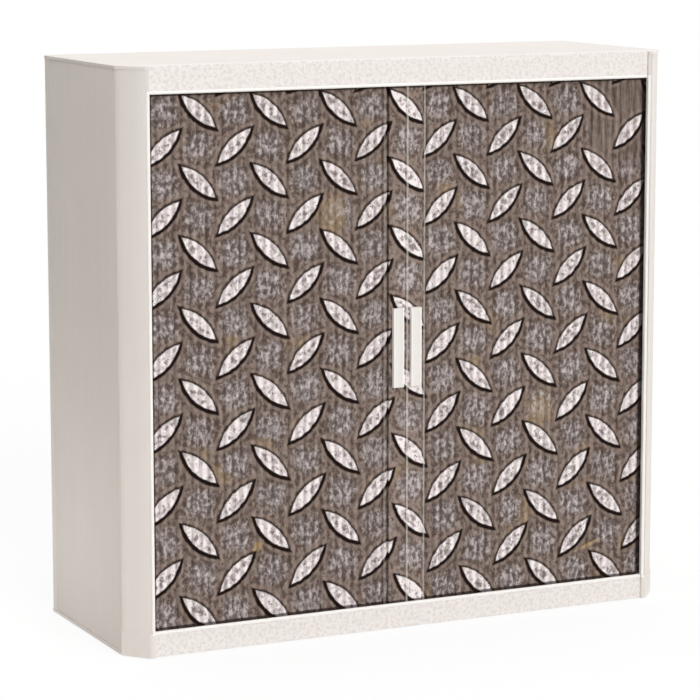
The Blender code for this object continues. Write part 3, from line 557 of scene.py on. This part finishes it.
def ribbed_slat(name, start, pitch, ribs, mirror):
    """A slat from the shared tree, baked to a plain mesh."""
    obj = new_object(name, bpy.data.meshes.new(name))
    modifier = obj.modifiers.new("Slats", "NODES")
    modifier.node_group = SLAT_TREE
    values = {
        "Slats": 1,
        "Ribs": ribs,
        "Rib Steps": RIB_STEPS,
        "Start": start,
        "Pitch": pitch,
        "Gap": RIB_GAP,
        "Height": SECTION_HIGH.z - SECTION_LOW.z,
        "Front": CURTAIN_FRONT,
        "Back": CURTAIN_BACK,
        "Rise": RIB_HEIGHT,
        "Bottom": SECTION_LOW.z,
        "Material": PRINT,
    }
    for key, value in values.items():
        modifier[SLAT_INPUTS[key]] = value
    finish_mesh(obj)
    if mirror < 0:
        obj.data.transform(Matrix.Diagonal((-1, 1, 1, 1)))
    outward(obj.data)
    obj.data.set_sharp_from_angle(angle=SHARP)
    return obj


def upright(name, outline, low, high):
    """A plan outline, anticlockwise from above, extruded from low to high as a closed mesh."""
    form = bmesh.new()
    bottom = [form.verts.new((x, y, low)) for x, y in outline]
    top = [form.verts.new((x, y, high)) for x, y in outline]
    form.faces.new(bottom[::-1])
    form.faces.new(top)
    count = len(outline)
    for i in range(count):
        j = (i + 1) % count
        form.faces.new((bottom[i], bottom[j], top[j], top[i]))
    bmesh.ops.recalc_face_normals(form, faces=form.faces)
    mesh = bpy.data.meshes.new(name)
    form.to_mesh(mesh)
    form.free()
    return new_object(name, mesh)


def turn(centre, radius, start, end, steps=6):
    """Points on an arc, from one angle to another in degrees."""
    points = []
    for i in range(steps + 1):
        angle = math.radians(start + (end - start) * i / steps)
        points.append((centre[0] + radius * math.cos(angle), centre[1] + radius * math.sin(angle)))
    return points


def make_stile(side, sign):
    """A lead stile: its printed face, a plain prism that reaches into the top and base, and its rib."""
    near, far, corner = MEET_GAP, STILE_FACE, STILE_CORNER
    outline = turn((near + corner, STILE_FRONT + corner), corner, 180, 270)
    outline += turn((far - corner, STILE_FRONT + corner), corner, 270, 360)
    outline += [(far, CURTAIN_BACK), (near, CURTAIN_BACK)]
    outline = [(sign * x, y) for x, y in outline]
    stile = upright(f"stile_face_{side}", outline, SECTION_LOW.z, SECTION_HIGH.z)
    stile.data.materials.append(PRINT)
    outward(stile.data)
    finish_mesh(stile)
    rib_start = far + STILE_RIB_GAP - RIB_GAP / 2
    rib = ribbed_slat(f"stile_rib_{side}", rib_start, SECTION_START - rib_start, 1, sign)
    for piece in (stile, rib):
        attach(piece, f"{side}_door")
    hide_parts(f"lead_stile_{side}")


def make_curtain(side, sign):
    """A door's slat sections, each on its own body."""
    for number in range(1, SECTIONS + 1):
        start = SECTION_START + (number - 1) * SECTION_PITCH
        piece = ribbed_slat(f"ribs_{side}_{number:02d}", start, SECTION_PITCH, RIBS, sign)
        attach(piece, f"{side}_curtain_{number:02d}")
        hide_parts(f"slat_section_{side}_{number:02d}")


def ease_panel(name, node):
    """A copy of a case panel with its outer edges eased, so that its joints show as fine grooves."""
    form = bmesh.new()
    form.from_mesh(node.data)
    bmesh.ops.remove_doubles(form, verts=form.verts, dist=PANEL_WELD)
    bmesh.ops.dissolve_limit(form, angle_limit=PANEL_FLAT, verts=form.verts, edges=form.edges)

    def outside(point):
        return abs(point.x) > PANEL_SIDE or point.y > PANEL_BACK

    edges = [
        edge
        for edge in form.edges
        if edge.is_manifold
        and edge.calc_face_angle_signed() > PANEL_SHARP
        and edge.calc_length() > EASE_LENGTH
        and all(outside(vert.co) for vert in edge.verts)
    ]
    bmesh.ops.bevel(
        form, geom=edges, offset=EASE, segments=2, profile=0.5, affect="EDGES", clamp_overlap=True
    )
    mesh = bpy.data.meshes.new(name)
    form.to_mesh(mesh)
    form.free()
    mesh.shade_smooth()
    mesh.set_sharp_from_angle(angle=PANEL_SHARP)
    mesh.materials.append(CASE)
    piece = new_object(name, mesh)
    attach(piece, "case")
    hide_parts(name.replace("eased_", ""))


def seen_directly(sheet):
    """1 for the rays by which the camera sees a surface, also in a gloss or through glass."""
    rays = sheet.tree.nodes.new("ShaderNodeLightPath")
    kinds = ("Is Camera Ray", "Is Glossy Ray", "Is Transmission Ray")
    return highest([Signal(sheet, rays.outputs[kind]) for kind in kinds])


def make_floor():
    """A floor that looks white, gives back a warm light and keeps the shadow."""
    mesh = bpy.data.meshes.new("floor")
    far = FLOOR_REACH
    mesh.from_pydata([(-far, -far, 0), (far, -far, 0), (far, far, 0), (-far, far, 0)], [], [(0, 1, 2, 3)])
    floor = new_object("floor", mesh)
    material = bpy.data.materials.new("pale floor")
    material.use_nodes = True
    tree = material.node_tree
    tree.nodes.clear()
    sheet = Sheet(tree)
    bright = sheet.add("ShaderNodeEmission", {}, {"Color": (1, 1, 1, 1), "Strength": 1.0})
    seen = seen_directly(sheet)
    pale = sheet.blend(seen, FLOOR_BOUNCE, (1, 1, 1))
    matt = sheet.add("ShaderNodeBsdfDiffuse", {}, {"Color": pale})
    mixed = sheet.add("ShaderNodeMixShader", {}, {0: seen * FLOOR_GLOW, 1: matt, 2: bright})
    output = tree.nodes.new("ShaderNodeOutputMaterial")
    tree.links.new(mixed.socket, output.inputs[0])
    mesh.materials.append(material)


def make_world():
    """Surroundings that look white and give a dim warm light."""
    world = bpy.data.worlds.new("soft studio")
    bpy.context.scene.world = world
    world.use_nodes = True
    tree = world.node_tree
    tree.nodes.clear()
    sheet = Sheet(tree)
    light = sheet.blend(seen_directly(sheet), AMBIENT, (1, 1, 1))
    background = tree.nodes.new("ShaderNodeBackground")
    tree.links.new(light.socket, background.inputs["Color"])
    output = tree.nodes.new("ShaderNodeOutputWorld")
    tree.links.new(background.outputs[0], output.inputs[0])


def make_lamp(name, kind, place, target):
    """A lamp at a place, turned to its target."""
    lamp = new_object(name, bpy.data.lights.new(name, kind))
    turned = (Vector(target) - Vector(place)).to_track_quat("-Z", "Y").to_matrix().to_4x4()
    lamp.matrix_world = Matrix.Translation(place) @ turned
    return lamp


def make_lamps():
    """Three soft windows, and the card's light on the lower left side."""
    for name, source, spread, strength in LAMPS:
        lamp = make_lamp(name, "SUN", Vector(source) * 5, (0, 0, 0))
        lamp.data.angle = math.radians(spread)
        lamp.data.energy = strength
    card = make_lamp("wall card", "AREA", CARD_PLACE, CARD_TARGET)
    card.data.size = CARD_SIZE
    card.data.energy = CARD_WATTS
    card.visible_camera = False


def make_camera():
    """The camera at the photograph's angle: ahead, right and up are its own axes."""
    camera = bpy.data.cameras.new("camera")
    camera.lens = LENS
    camera.shift_x, camera.shift_y = VIEW_SHIFT
    camera.clip_end = 100
    obj = new_object("camera", camera)
    level = math.cos(VIEW_TILT)
    ahead = Vector((math.sin(VIEW_TURN) * level, math.cos(VIEW_TURN) * level, math.sin(VIEW_TILT)))
    right = Vector((math.cos(VIEW_TURN), -math.sin(VIEW_TURN), 0))
    up = right.cross(ahead)
    rolled = right * math.cos(VIEW_ROLL) + up * math.sin(VIEW_ROLL)
    up = up * math.cos(VIEW_ROLL) - right * math.sin(VIEW_ROLL)
    turned = Matrix((rolled, up, -ahead)).transposed().to_4x4()
    obj.matrix_world = Matrix.Translation(VIEW_PLACE) @ turned
    bpy.context.scene.camera = obj


PRINT = tread_print()
CASE = moulded_plastic("off-white moulded plastic", CASE_PALE, CASE_DEEP, 0.52, cased=True)
INNER = moulded_plastic("off-white inner plastic", INNER_PALE, INNER_DEEP, 0.58)
BAR = moulded_plastic("white handle plastic", BAR_PALE, BAR_DEEP, 0.36, 0.4, highlit_rims=True)
GLIDE = glide_rubber()
SLAT_TREE, SLAT_INPUTS = slat_tree()

for node_name, node in nodes.items():
    node.data.materials.clear()
    if node_name.startswith("foot"):
        node.data.materials.append(GLIDE)
    elif node_name.startswith("handle"):
        node.data.materials.append(BAR)
    elif node_name.startswith(("shelf", "inner")):
        node.data.materials.append(INNER)
    else:
        node.data.materials.append(CASE)

for door_side, door_sign in SIDES.items():
    for panel in ("side_panel", "back_panel", "rear_corner_post", "front_corner_post"):
        ease_panel(f"eased_{panel}_{door_side}", nodes[f"{panel}_{door_side}"])
    make_stile(door_side, door_sign)
    make_curtain(door_side, door_sign)
make_floor()
make_world()
make_lamps()
make_camera()
bpy.context.scene.view_settings.view_transform = "Standard"
